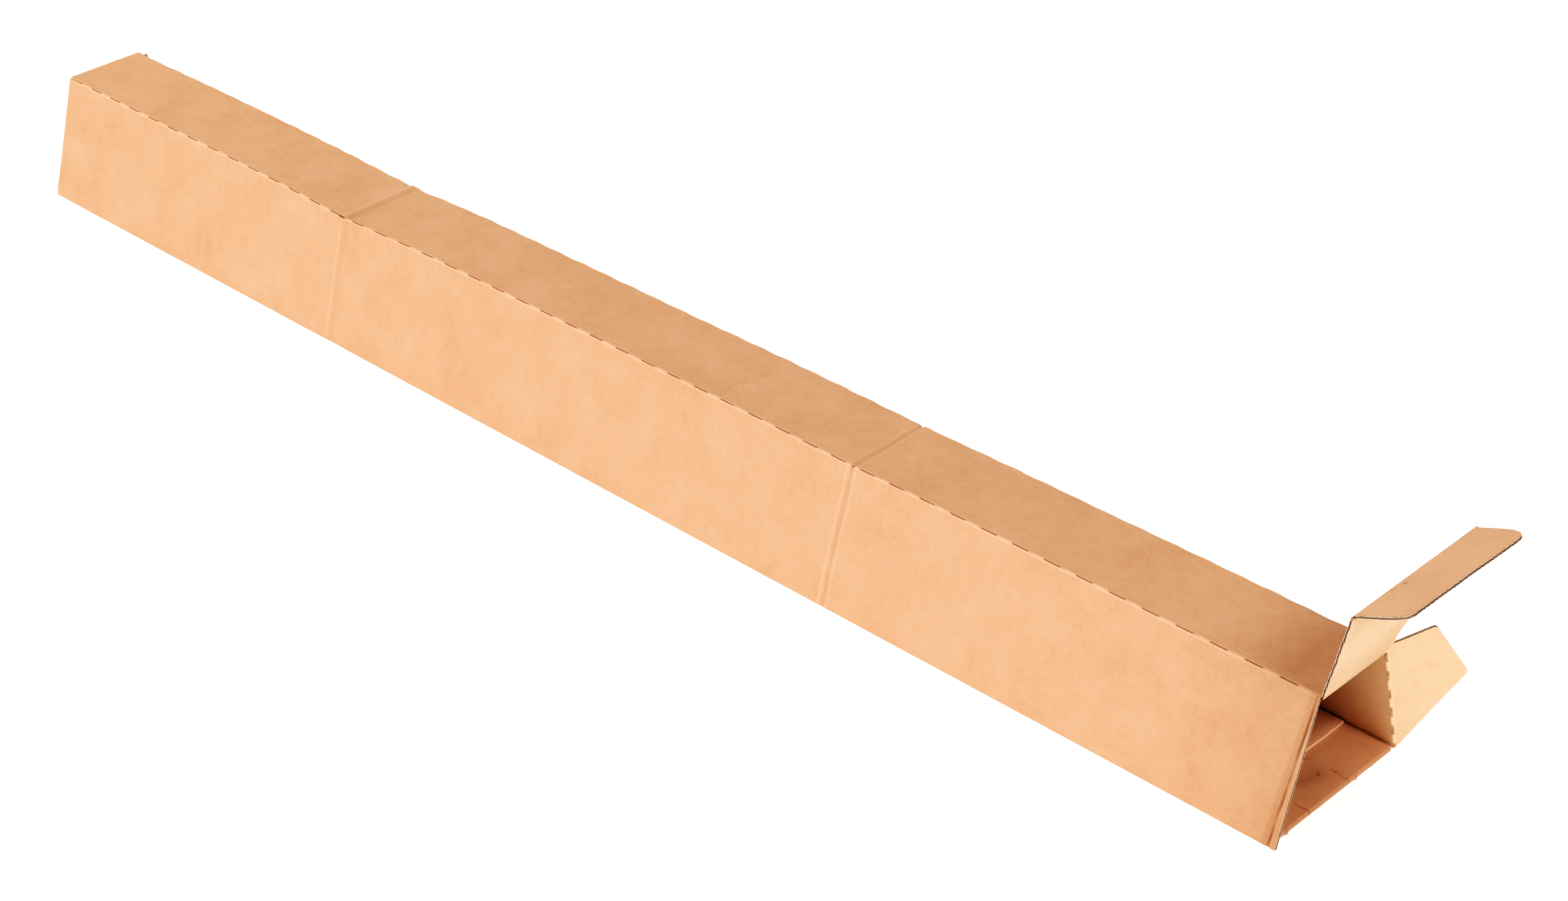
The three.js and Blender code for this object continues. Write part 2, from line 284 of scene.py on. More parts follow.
# ------------------------------------------------------------------ mesh builder
class Builder:
    def __init__(self, name):
        self.name = name
        self.v, self.f, self.m, self.uv = [], [], [], []
        self.wear, self.soil_and_painted_shade = [], []

    def vert(self, p, uv=(0, 0), wear=0.0, soil_and_painted_shade=0.0):
        self.v.append((p[0] / 1000, p[1] / 1000, p[2] / 1000))
        self.uv.append((uv[0] / 1000, uv[1] / 1000))
        self.wear.append(wear)
        self.soil_and_painted_shade.append(soil_and_painted_shade)
        return len(self.v) - 1

    def face(self, idx, mat):
        self.f.append(tuple(idx))
        self.m.append(mat)

    def grid(self, rows, mat, flip=False):
        """rows: list of lists of vertex indices"""
        for a, b in zip(rows, rows[1:]):
            for i in range(len(a) - 1):
                q = (a[i], a[i + 1], b[i + 1], b[i])
                self.face(q[::-1] if flip else q, mat)

    def finish(self, body, slot_name, mats=MATS, replaces=(), smooth_faces=True, merge=True):
        me = bpy.data.meshes.new(self.name)
        me.from_pydata(self.v, [], self.f)
        for mt in mats:
            me.materials.append(mt)
        me.polygons.foreach_set("material_index", self.m)
        me.polygons.foreach_set("use_smooth", [smooth_faces] * len(self.f))
        layer = me.uv_layers.new(name="board")
        loops = [0] * len(me.loops)
        me.loops.foreach_get("vertex_index", loops)
        flat = []
        for i in loops:
            flat.extend(self.uv[i])
        layer.data.foreach_set("uv", flat)
        for nm, vals in (("wear", self.wear), ("soil_and_painted_shade", self.soil_and_painted_shade)):
            a = me.attributes.new(nm, "FLOAT", "POINT")
            a.data.foreach_set("value", vals)
        me.validate(clean_customdata=False)
        me.update()
        o = bpy.data.objects.new(self.name, me)
        scene.collection.objects.link(o)
        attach(o, body)
        if replaces:
            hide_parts(*replaces)
        return o


# ------------------------------------------------------------------ small real deformations
def drift(x, y, z):
    """The box as it stands: a slight twist to the left at the top of the far end, a kink
    inwards at each pressed crease, and soft waviness of the panels."""
    up = z / H
    t = (XE - x) / (2 * XE)
    dy = -(0.5 + 3.4 * smooth(0.15, 1.0, t)) * up * 0.9
    k1, k2 = bump(x, C1, 55), bump(x, C2, 55)
    dy += (-2.0 * k1 - 0.9 * k2) * (0.3 + 0.7 * up)
    dz = (-0.9 * k1) * up
    wav = 0.35 * n3(x, y * 2.2, z * 2.2, 0.011) + 0.14 * n3(x, y, z + 50, 0.045)
    fade = min(1.0, max(0.0, (XE - abs(x)) / 30.0))
    return dy * 1.0, dz, wav * (0.25 + 0.75 * fade)


# ------------------------------------------------------------------ tube section
# A path of the sheet's outer face, from the cut edge at the foot of the left wall, up
# the wall, over the top, down the right wall, across the base and up into the glued lap.
# Each fold has its own arc. Points: (y, z, ny, nz, s, fold, u)
def section():
    """Returns a list of samples: outer (y,z), normal (ny,nz), arc length, fold id (or None)
    and signed distance from the fold's middle."""
    corners = [
        (-WB + SL * 0.6 * 0, 0.0, None),
        (-WT, H, "TL"),
        (WT, H, "TR"),
        (WB, 0.0, "BR"),
        (-WB + 1.55 / CW + 0.1, 0.0, "BL"),
        (-(WB - SL * 30) + 1.75 / CW + 0.15, 30.0, None),
    ]
    R = {"TL": 2.3, "TR": 2.3, "BR": 2.3, "BL": 1.9}
    out = []

    def add(y, z, ny, nz, fold=None, d=0.0):
        s = 0.0 if not out else out[-1][4] + math.hypot(y - out[-1][0], z - out[-1][1])
        out.append((y, z, ny, nz, s, fold, d))

    # each run between corners, sampled finely beside the folds
    def run(p, q, a0, a1, f0, f1):
        L = math.hypot(q[0] - p[0], q[1] - p[1])
        ty, tz = (q[0] - p[0]) / L, (q[1] - p[1]) / L
        ny, nz = -tz, ty
        near = [0.0, 0.45, 0.9, 1.5, 2.4, 3.8, 6.0]
        pts = []
        for d in near:
            if a0 + d < L / 2:
                pts.append(a0 + d)
        mid_lo, mid_hi = a0 + 9.0, L - a1 - 9.0
        n = max(2, int((mid_hi - mid_lo) / 4.5))
        pts += [mid_lo + (mid_hi - mid_lo) * i / n for i in range(n + 1)]
        for d in reversed(near):
            if a1 + d < L / 2:
                pts.append(L - a1 - d)
        for d in sorted(set(round(v, 4) for v in pts)):
            dist0, dist1 = d, L - d
            fold, dd = (f0, dist0) if dist0 < dist1 else (f1, -dist1)
            add(p[0] + ty * d, p[1] + tz * d, ny, nz, fold if abs(dd) < 12 else None, dd)

    def arc(prev, c, nxt, r, fold):
        a = Vector((c[0] - prev[0], c[1] - prev[1])).normalized()
        b = Vector((nxt[0] - c[0], nxt[1] - c[1])).normalized()
        n0, n1 = Vector((-a.y, a.x)), Vector((-b.y, b.x))
        ang = math.atan2(a.x * b.y - a.y * b.x, a.dot(b))
        cut = r * math.tan(abs(ang) / 2)
        centre = Vector(c[:2]) - a * cut - n0 * r * (1 if ang < 0 else -1)
        if ang < 0:
            centre = Vector(c[:2]) - a * cut - n0 * r
        k = 8
        for i in range(1, k):
            th = ang * i / k
            n = Vector((n0.x * math.cos(th) - n0.y * math.sin(th), n0.x * math.sin(th) + n0.y * math.cos(th)))
            p = centre + n * r
            add(p.x, p.y, n.x, n.y, fold, (i / k - 0.5) * r * abs(ang))
        return cut

    cuts = {}
    for i in range(1, 5):
        p, c, q = corners[i - 1], corners[i], corners[i + 1]
        a = Vector((c[0] - p[0], c[1] - p[1])).normalized()
        b = Vector((q[0] - c[0], q[1] - c[1])).normalized()
        ang = math.atan2(a.x * b.y - a.y * b.x, a.dot(b))
        cuts[i] = R[c[2]] * math.tan(abs(ang) / 2)
    cuts[0] = cuts[5] = 0.0
    for i in range(5):
        run(corners[i], corners[i + 1], cuts[i], cuts[i + 1], corners[i][2], corners[i + 1][2])
        if i < 4:
            arc(corners[i], corners[i + 1], corners[i + 2], R[corners[i + 1][2]], corners[i + 1][2])
    return out


SEC = section()
print("section samples", len(SEC), "length", round(SEC[-1][4], 1))


# signed distance from the middle of the nearest fold, for every sample
FOLD_ANG = {"TL": 1.255, "TR": 1.255, "BR": 1.886, "BL": 1.886}
FOLD_R = {"TL": 2.3, "TR": 2.3, "BR": 2.3, "BL": 1.9}


def fold_distance(k):
    y, z, ny, nz, s, fold, d = SEC[k]
    return s - MID[fold] if fold in MID else 99.0


MID = {}
for fold in FOLD_R:
    ks = [p for p in SEC if p[5] == fold and abs(p[6]) < 1e-6]
    MID[fold] = ks[0][4] if ks else 0.0
for fold in FOLD_R:
    arc = [p[4] for p in SEC if p[5] == fold and abs(p[6]) < FOLD_R[fold] * FOLD_ANG[fold] / 2]
    MID[fold] = (min(arc) + max(arc)) / 2

REG = []  # region of each sample: 0 left wall, 1 top, 2 right wall, 3 base, 4 lap
for k, p in enumerate(SEC):
    s = p[4]
    REG.append(0 if s < MID["TL"] else 1 if s < MID["TR"] else 2 if s < MID["BR"] else 3 if s < MID["BL"] else 4)


def crease_back(z):
    return 2.4 + 2.4 * (1 - max(0.0, min(1.0, z / H)))


def x_end(k, side, inner):
    """Where the sheet ends at this sample; side +1 near, -1 far."""
    y, z = SEC[k][0], SEC[k][1]
    r = REG[k]
    if r == 0:
        e = 500.85
    elif r == 1:
        e = 500.95 if inner else 500.72
    elif r == 2:
        e = XE - crease_back(z)
    elif r == 3:
        e = 496.25
    else:
        e = 455.5
    return side * e


def perf(x, phase):
    """1 where the fold is cut through, 0 where it is only pressed."""
    t = ((x - phase) / PITCH) % 1.0
    w = 0.50 + 0.03 * n3(math.floor((x - phase) / PITCH), phase, 3.3, 1.7)
    e = 0.35 / PITCH
    if x > XE - 10.5 or t >= 0.9:
        return 0.0
    return smooth(-e, e, t) * (1 - smooth(w - e, w + e, t))


def stations():
    xs = set()
    n = int(2 * XE / PITCH) + 2
    for i in range(-1, n):
        b = CUT0 + (i - 1) * PITCH
        w = 0.50 * PITCH
        for d in (-0.35, 0.35, w / 2, w - 0.35, w + 0.35, w * 1.5):
            xs.add(round(b + d, 3))
    for c in (C1, C2):
        for i in range(-11, 14):
            xs.add(round(c + i * 0.8, 3))
    x = XE - 12.0
    while x < XE:
        xs.add(round(x, 3))
        x += 0.62
    out = sorted(x for x in xs if -XE + 8 < x < XE - 1.2)
    thin = [out[0]]
    for x in out[1:]:
        if x - thin[-1] > 0.3:
            thin.append(x)
    return thin


XS = stations()
PHASE = {"TL": CUT0, "TR": CUT0 + 3.0, "BR": CUT0 + 5.0, "BL": CUT0}


def surface(k, x, inner):
    """A point of the sheet's outer or inner face, with how much it is lightened by worn spots and darkened by marks and
    painted shade.
    """
    y, z, ny, nz, s, fold, d0 = SEC[k]
    off, wear, soil_and_painted_shade = 0.0, 0.0, 0.0
    r = REG[k]
    if fold and fold in MID:
        dm = s - MID[fold]
        c = perf(x, PHASE[fold])
        jig = 0.12 * n3(x, s, 9.0, 0.21)
        if not inner:
            if fold != "BL":
                # pressed part: flattened with a scuffed crest; cut part: a narrow slit
                sag = math.sin(2 * math.pi * (x - PHASE[fold]) / PITCH)
                off += (0.05 - 0.28 * sag * (0.7 + 0.6 * n3(x, 3, s, 0.02)) + jig) * math.exp(-(dm / 1.7) ** 2)
                ds_ = dm - 0.36       # the slit lies just on the top panel's side of the crest
                off += c * (0.08 * math.exp(-((dm + 0.5) / 0.4) ** 2) - 0.55 * math.exp(-(ds_ / 0.26) ** 2))
                wear += 0.55 * math.exp(-((dm + 0.55) / 0.42) ** 2) + 0.25 * math.exp(-(dm / 0.8) ** 2) * (1 - c)
                soil_and_painted_shade += c * 0.80 * math.exp(-(ds_ / 0.25) ** 2)
        else:
            soil_and_painted_shade += 0.5 * c * math.exp(-(dm / 0.5) ** 2)
    # painted shade: the left wall's outer face darkens towards the open end over its last 120 mm
    if r == 0 and not inner:
        soil_and_painted_shade += 0.05 * smooth(380.0, 450.0, x) + 0.12 * smooth(440.0, 500.0, x)
    # painted shade: the inner faces are darker everywhere except near the near open end, where it fades out over the
    # last 60 mm
    if inner:
        soil_and_painted_shade += 0.34 * (1 - smooth(440.0, 492.0, x))
    # the strip at the open end of the left wall, beyond its crease
    if r == 0 and x > 470:
        cx = XE - 1.5 - 3.3 * (1 - z / H) + 0.35 * n3(z, 1, 1, 0.09)
        dx = x - cx
        if not inner:
            off += -0.40 * math.exp(-((dx + 0.5) / 0.8) ** 2) * smooth(0, 3, H - z) + 0.10 * math.exp(-((dx + 2.2) / 1.0) ** 2)
            # painted shade: a dark line along the strip's crease and a softer band behind it
            soil_and_painted_shade += 0.62 * math.exp(-((dx + 0.4) / 0.75) ** 2) * (0.7 + 0.7 * n3(z, 7, 1, 0.10)) + 0.14 * math.exp(-((dx + 2.6) / 2.0) ** 2)
            wear += 0.30 * math.exp(-((dx - 0.9) / 0.5) ** 2)
            # painted shade: the strip beyond the crease is a little darker
            soil_and_painted_shade += 0.05 * smooth(0.0, 1.0, dx)
        off += 0.22 * smooth(0.0, 3.0, dx)
    # pressed cross creases
    if r in (0, 1, 2) and not inner:
        up = z / H
        for i, cx in enumerate((C1, C2)):
            dx = x - cx
            if abs(dx) > 60:
                continue
            wob = 0.5 * n3(s, cx, 1.0, 0.06)
            dx -= wob
            if i == 0:
                kk = 0.45 if r == 0 else 1.0
                off += kk * (0.26 * math.exp(-(dx / 0.9) ** 2) - 0.42 * math.exp(-((dx - 3.4) / 2.2) ** 2)) - 0.30 * math.exp(-((dx - 11) / 8.0) ** 2)
                wear += (0.50 if r == 0 else 0.55) * math.exp(-(dx / 0.60) ** 2) * (0.75 + 0.4 * n3(s, x, 5, 0.3))
                # painted shade in the trough just past the crease
                soil_and_painted_shade += (0.05 if r == 0 else 0.16) * math.exp(-((dx - 4.2) / 2.6) ** 2)
                if fold in ("TL", "TR"):
                    dm = s - MID[fold]
                    if fold == "TL":
                        off += -0.9 * math.exp(-((dx + 0.4) / 2.6) ** 4 - (dm / 1.1) ** 2)
                        # painted shade in the dent where the crease crosses the fold
                        soil_and_painted_shade += 1.0 * math.exp(-((dx + 0.4) / 2.6) ** 4 - (dm / 0.8) ** 2)
                    else:
                        off += 0.95 * math.exp(-((dx - 3.0) / 3.6) ** 2 - (dm / 2.6) ** 2) - 0.5 * math.exp(-((dx + 2.2) / 1.6) ** 2 - (dm / 2.0) ** 2)
            else:
                off += -0.34 * math.exp(-(dx / 1.5) ** 2) + (0.14 * (math.exp(-((dx + 3.4) / 1.1) ** 2) + math.exp(-((dx - 3.4) / 1.1) ** 2)) if r == 0 else 0.0)
                wear += (0.35 if r == 1 else 0.45) * (math.exp(-((dx + 2.9) / 0.7) ** 2) + 0.8 * math.exp(-((dx - 2.9) / 0.7) ** 2)) * (0.7 + 0.5 * n3(s, x, 8, 0.3)) * (1.0 if r == 0 else 0.55)
                # painted shade in the crease's groove
                soil_and_painted_shade += 0.14 * math.exp(-(dx / 1.2) ** 2)
                if fold in ("TL", "TR"):
                    dm = s - MID[fold]
                    off += -0.8 * math.exp(-(dx / 1.6) ** 2 - (dm / 1.8) ** 2)
                    # painted shade in the dent where the crease crosses the fold
                    soil_and_painted_shade += 0.7 * math.exp(-(dx / 1.0) ** 2 - (dm / 0.9) ** 2)
    if r == 4 and not inner:
        # the lap's outer face, lying against the wall, is made a little darker
        soil_and_painted_shade += 0.1
    py, pz = y + ny * off, z + nz * off
    if inner:
        py, pz = y - ny * T, z - nz * T
    dy, dz, wv = drift(x, y, z)
    if r == 3 or z < 0.4:
        wv *= 0.0
        dz = 0.0
    if r == 4:
        wv = 0.35 * n3(x, y * 2.2, z * 2.2, 0.011) * 0.3
    py += dy * (1.0 if r in (0, 1, 2, 4) else 0.0) * (smooth(0, 6, z) if r != 1 else 1.0) + ny * wv * smooth(0, 8, z)
    pz += dz + nz * wv * smooth(0, 8, z)
    return (x, py, max(pz, 0.02)), max(0.0, min(1.0, wear)), max(0.0, min(1.0, soil_and_painted_shade))


def build_tube():
    b = Builder("carton_tube")
    K = range(len(SEC))

    def rows_of(xs, inner):
        rows = []
        lo = [x_end(k, -1, inner) for k in K]
        hi = [x_end(k, 1, inner) for k in K]
        for x in [None] + xs + [1e9]:
            row = []
            for k in K:
                if x is None:
                    xx = lo[k]
                elif x == 1e9:
                    xx = hi[k]
                else:
                    # the last 60 mm of stations close up towards a panel that ends short
                    xx = x
                    if x > hi[k] - 0.3:
                        xx = hi[k] - 0.02 - 0.0004 * (XE - x)
                    if x < lo[k] + 0.3:
                        xx = lo[k] + 0.02 + 0.0004 * (XE + x)
                p, w, so = surface(k, xx, inner)
                row.append(b.vert(p, (SEC[k][4], xx), w, so))
            rows.append(row)
        return rows

    outer = rows_of(XS, False)
    inner = rows_of(XS[::3], True)
    # the outer face: x up, s up; normal = dx x ds points in, so flip
    b.grid(outer, 0, flip=False)
    b.grid(inner, 1, flip=True)
    # long cut edges: foot of the left wall and top of the lap
    for k in (0, len(SEC) - 1):
        strip(b, [r[k] for r in outer], [r[k] for r in inner], 2, flip=(k != 0))
    # ends
    n = len(SEC)
    first_top = next(k for k in K if REG[k] == 1)
    for o, i, side in ((outer[0], inner[0], -1), (outer[-1], inner[-1], 1)):
        for k in range(n - 1):
            q = (o[k], o[k + 1], i[k + 1], i[k])
            if REG[k] == 0 and REG[k + 1] == 0:
                continue
            b.face(q[::-1] if side > 0 else q, 2)
    for side in (-1, 1):
        ks = [k for k in K if REG[k] == 0]
        ss = [SEC[k][4] for k in ks]

        def F(s, off, inset, side=side, ks=ks, ss=ss):
            # off 0 at the outer face, T at the inner
            j = 0
            while j < len(ss) - 2 and ss[j + 1] < s:
                j += 1
            t = (s - ss[j]) / (ss[j + 1] - ss[j])
            a, c = SEC[ks[j]], SEC[ks[j + 1]]
            x = x_end(ks[j], side, False) - side * inset
            pa, _, _ = surface(ks[j], x, False)
            pc, _, _ = surface(ks[j + 1], x, False)
            ia, _, _ = surface(ks[j], x, True)
            ic, _, _ = surface(ks[j + 1], x, True)
            f = off / T
            return tuple((pa[i] * (1 - t) + pc[i] * t) * (1 - f) + (ia[i] * (1 - t) + ic[i] * t) * f for i in range(3))

        cut_rim(b, F, ss, lambda s: 1.0, flip=(side > 0), uvf=lambda s, i: (s, 500 - i))
    return b


def strip(b, a, c, mat, flip=False):
    """Joins two rows of vertices that run the same way but may differ in number."""
    i = j = 0
    xa = [b.v[q] for q in a]
    xc = [b.v[q] for q in c]

    def t(rows, q):
        return rows[q][0]

    while i < len(a) - 1 or j < len(c) - 1:
        if j == len(c) - 1 or (i < len(a) - 1 and t(xa, i + 1) <= t(xc, j + 1)):
            f = (a[i], a[i + 1], c[j])
            i += 1
        else:
            f = (a[i], c[j + 1], c[j])
            j += 1
        b.face(f[::-1] if flip else f, mat)


def cut_rim(b, F, ss, rate, flip=False, uvf=lambda s, i: (s, i), D=1.1, liner=0.30):
    """A cut edge of the board: two liner edges with the fluted medium waving between them.
    F(s, off, inset) is a point; off runs 0 to T through the board."""
    prof = [(0.0, 0.0), (0.04, 0.0), (liner, 0.02), (liner, D), (T - liner, D), (T - liner, 0.02), (T - 0.04, 0.0), (T, 0.0)]
    mats = [2, 2, 3, 3, 3, 2, 2]
    rows = []
    for s in ss:
        # the recess floor between the liners gets painted shade (0.35)
        rows.append([b.vert(F(s, o, i), uvf(s, i), 0.0, 0.35 if i > 0.5 else 0.0) for o, i in prof])
    for a, c in zip(rows, rows[1:]):
        for m in range(len(prof) - 1):
            q = (a[m], c[m], c[m + 1], a[m + 1])
            b.face(q[::-1] if flip else q, mats[m])
    # medium
    L0, L1 = ss[0], ss[-1]
    s, ph, seq = L0 + 0.02, 0.7, []
    amp = T / 2 - liner - 0.07
    while s < L1 - 0.02:
        seq.append((s, ph))
        r = max(0.06, rate(s))
        ds = min(0.34 / r, 1.5, L1 - 0.02 - s)
        ds = max(ds, 0.02)
        ph += ds * r * 2 * math.pi / 3.4
        s += ds
    if len(seq) < 3:
        return
    ring = []
    for s, ph in seq:
        o = T / 2 + amp * math.sin(ph) * (1 + 0.12 * math.sin(3 * ph + 1))
        i0 = 0.07 + 0.05 * n3(s, L0, 4.0, 0.8)
        ring.append([b.vert(F(s, o + dq, iq), uvf(s, iq), 0.1, 0.0) for dq, iq in ((-0.085, i0), (0.085, i0), (0.085, D - 0.1), (-0.085, D - 0.1))])
    for a, c in zip(ring, ring[1:]):
        for m in range(4):
            n = (m + 1) % 4
            q = (a[m], c[m], c[n], a[n])
            b.face(q[::-1] if flip else q, 3 if m != 0 else 2)
    b.face(ring[0] if not flip else ring[0][::-1], 3)
    b.face(ring[-1][::-1] if not flip else ring[-1], 3)


# ------------------------------------------------------------------ flat flaps
from mathutils.geometry import delaunay_2d_cdt


def inside(poly, x, y):
    c = False
    j = len(poly) - 1
    for i in range(len(poly)):
        if (poly[i][1] > y) != (poly[j][1] > y) and x < (poly[j][0] - poly[i][0]) * (y - poly[i][1]) / (poly[j][1] - poly[i][1]) + poly[i][0]:
            c = not c
        j = i
    return c


def slab(b, outline, kinds, P, w_is_inner, grid=3.0, wearf=None, flute_axis=1, extra=()):
    """outline: corners (a, b) counter-clockwise; kinds[i] is the edge from i to i+1.
    P(a, b, off) is a point, off from -T/2 to T/2. w_is_inner: +off is the cream face."""
    pts, tags = [], []
    n = len(outline)
    for i in range(n):
        p, q = outline[i], outline[(i + 1) % n]
        L = math.hypot(q[0] - p[0], q[1] - p[1])
        m = max(1, int(L / (1.3 if kinds[i] == "cut" else 2.5)))
        for k in range(m):
            t = k / m
            pts.append((p[0] + (q[0] - p[0]) * t, p[1] + (q[1] - p[1]) * t))
            tags.append(kinds[i])
    N = len(pts)
    co = [Vector(p) for p in pts]
    xs = [p[0] for p in pts]
    ys = [p[1] for p in pts]
    co += [Vector(e) for e in extra]
    lim = max((e[0] for e in extra), default=-1e9) + 0.8 if extra else -1e9
    y = min(ys) + grid * 0.6
    row = 0
    while y < max(ys):
        x = min(xs) + grid * (0.5 if row % 2 else 0.9)
        while x < max(xs):
            if x > lim and inside(pts, x, y) and min((x - p[0]) ** 2 + (y - p[1]) ** 2 for p in pts) > (grid * 0.55) ** 2:
                co.append(Vector((x, y)))
            x += grid
        y += grid * 0.87
        row += 1
    vs, _, fs, _, _, _ = delaunay_2d_cdt(co, [], [list(range(N))], 1, 1e-5)
    wearf = wearf or (lambda a, c, inner: (0.0, 0.0))

    def uv(a, c):
        return (a, c) if flute_axis == 1 else (c, a)

    for sgn in (1, -1):
        inner = (sgn > 0) == w_is_inner
        idx = []
        for v in vs:
            w, so = wearf(v.x, v.y, inner)
            idx.append(b.vert(P(v.x, v.y, sgn * T / 2), uv(v.x, v.y), w, so))
        for f in fs:
            q = [idx[i] for i in f]
            # counter-clockwise faces point to +off
            area = sum(vs[f[i]].x * vs[f[(i + 1) % len(f)]].y - vs[f[(i + 1) % len(f)]].x * vs[f[i]].y for i in range(len(f)))
            if (area > 0) != (sgn > 0):
                q = q[::-1]
            b.face(q, 1 if inner else 0)
    # rims
    i = 0
    while i < N and not (tags[i] == "cut" and tags[i - 1] != "cut"):
        i += 1
    start = i % N
    k = 0
    while k < N:
        i = (start + k) % N
        if tags[i] == "cut":
            m = k
            while m < N and tags[(start + m) % N] == "cut":
                m += 1
            run = [pts[(start + j) % N] for j in range(k, m + 1)]
            arc = [0.0]
            for p, q in zip(run, run[1:]):
                arc.append(arc[-1] + math.hypot(q[0] - p[0], q[1] - p[1]))
            dirs = []
            for j in range(len(run)):
                p, q = run[max(0, j - 1)], run[min(len(run) - 1, j + 1)]
                L = math.hypot(q[0] - p[0], q[1] - p[1])
                dirs.append(((q[0] - p[0]) / L, (q[1] - p[1]) / L))

            def at(s, arc=arc, run=run, dirs=dirs):
                j = 0
                while j < len(arc) - 2 and arc[j + 1] < s:
                    j += 1
                t = (s - arc[j]) / (arc[j + 1] - arc[j])
                mixv = lambda u, v: (u[0] * (1 - t) + v[0] * t, u[1] * (1 - t) + v[1] * t)
                return mixv(run[j], run[j + 1]), mixv(dirs[j], dirs[j + 1])

            def F(s, off, inset, at=at):
                (a, c), (ta, tc) = at(s)
                return P(a - tc * inset, c + ta * inset, off - T / 2)

            ax = 0 if flute_axis == 1 else 1
            cut_rim(b, F, arc, lambda s, at=at: abs(at(s)[1][ax]), flip=True, uvf=lambda s, i: (s, i), D=0.8)
            k = m
        else:
            p, q = pts[i], pts[(i + 1) % N]
            if tags[i] == "nose":
                prof = [(-T / 2, 0.0)] + [(T / 2 * math.sin(th), -T / 2 * math.cos(th)) for th in [math.radians(v) for v in range(-75, 76, 15)]] + [(T / 2, 0.0)]
            elif tags[i] == "socket":
                e = 0.80
                arcp = [(-e * math.cos(math.radians(v)), -e * math.sin(math.radians(v))) for v in range(8, 91, 12)]
                if w_is_inner:
                    prof = [(-T / 2, 0.0)] + arcp + [(T / 2, -1.35)]
                else:
                    prof = [(-T / 2, -1.35)] + [(-u, v) for u, v in reversed(arcp)] + [(T / 2, 0.0)]
            else:
                prof = [(-T / 2, 0.0), (T / 2, 0.0)]
            ends = []
            for e in (p, q):
                ends.append([b.vert(P(e[0], e[1] + dz, o), uv(e[0], e[1] + dz), 0.0, 0.0) for o, dz in prof])
            for u in range(len(prof) - 1):
                half = prof[u][0] + prof[u + 1][0] > 0
                mt = 1 if half == w_is_inner else 0
                if tags[i] == "plain":
                    mt = 2
                b.face((ends[0][u], ends[1][u], ends[1][u + 1], ends[0][u + 1]), mt)
            k += 1


def weld(o, angle=38):
    import bmesh

    bm = bmesh.new()
    bm.from_mesh(o.data)
    bmesh.ops.remove_doubles(bm, verts=bm.verts, dist=4e-7)
    bmesh.ops.dissolve_degenerate(bm, edges=bm.edges, dist=1e-8)
    bm.to_mesh(o.data)
    bm.free()
    o.data.set_sharp_from_angle(angle=math.radians(angle))


# ------------------------------------------------------------------ lid and tongue
LEAN, LIDL, RISE = 19.4, 74.0, 22.4
AX_X, AX_Z = 501.8, H - T / 2

LID = [
    (-28.6, 0), (-52.0, LIDL), (52.3, LIDL), (50.6, 68.5), (48.1, 62), (45.7, 56), (43.5, 50.2), (41.5, 45), (39.4, 40.2), (37.0, 35.2),
    (34.4, 30.4), (32.2, 26.6), (29.9, 23.2), (28.0, 20.4), (26.8, 17.6), (26.1, 14.8), (25.9, 12.2), (26.3, 9.4), (27.0, 7.2),
    (27.3, 5.2), (26.8, 3.4), (25.4, 1.8), (23.7, 0),
]


def closed_loop(pts):
    """counter-clockwise copy and a map of the edges"""
    area = sum(pts[i][0] * pts[(i + 1) % len(pts)][1] - pts[(i + 1) % len(pts)][0] * pts[i][1] for i in range(len(pts)))
    return pts if area > 0 else pts[::-1]


TONGUE_PTS = [
    (-50.2, 0), (-49.9, 8), (-49.7, 16), (-49.0, 22.5), (-48.6, 25.0), (-47.4, 26.9), (-45.9, 28.0), (-44.0, 28.6), (-36, 28.7), (-24, 28.8),
    (-9, 29.1), (6, 29.5), (18, 30.0), (29, 30.3), (37, 30.4), (41.0, 30.3), (44.2, 29.6), (46.4, 27.8), (48.2, 25.0), (49.2, 22.0),
    (49.9, 15), (50.3, 8), (50.4, 0),
]


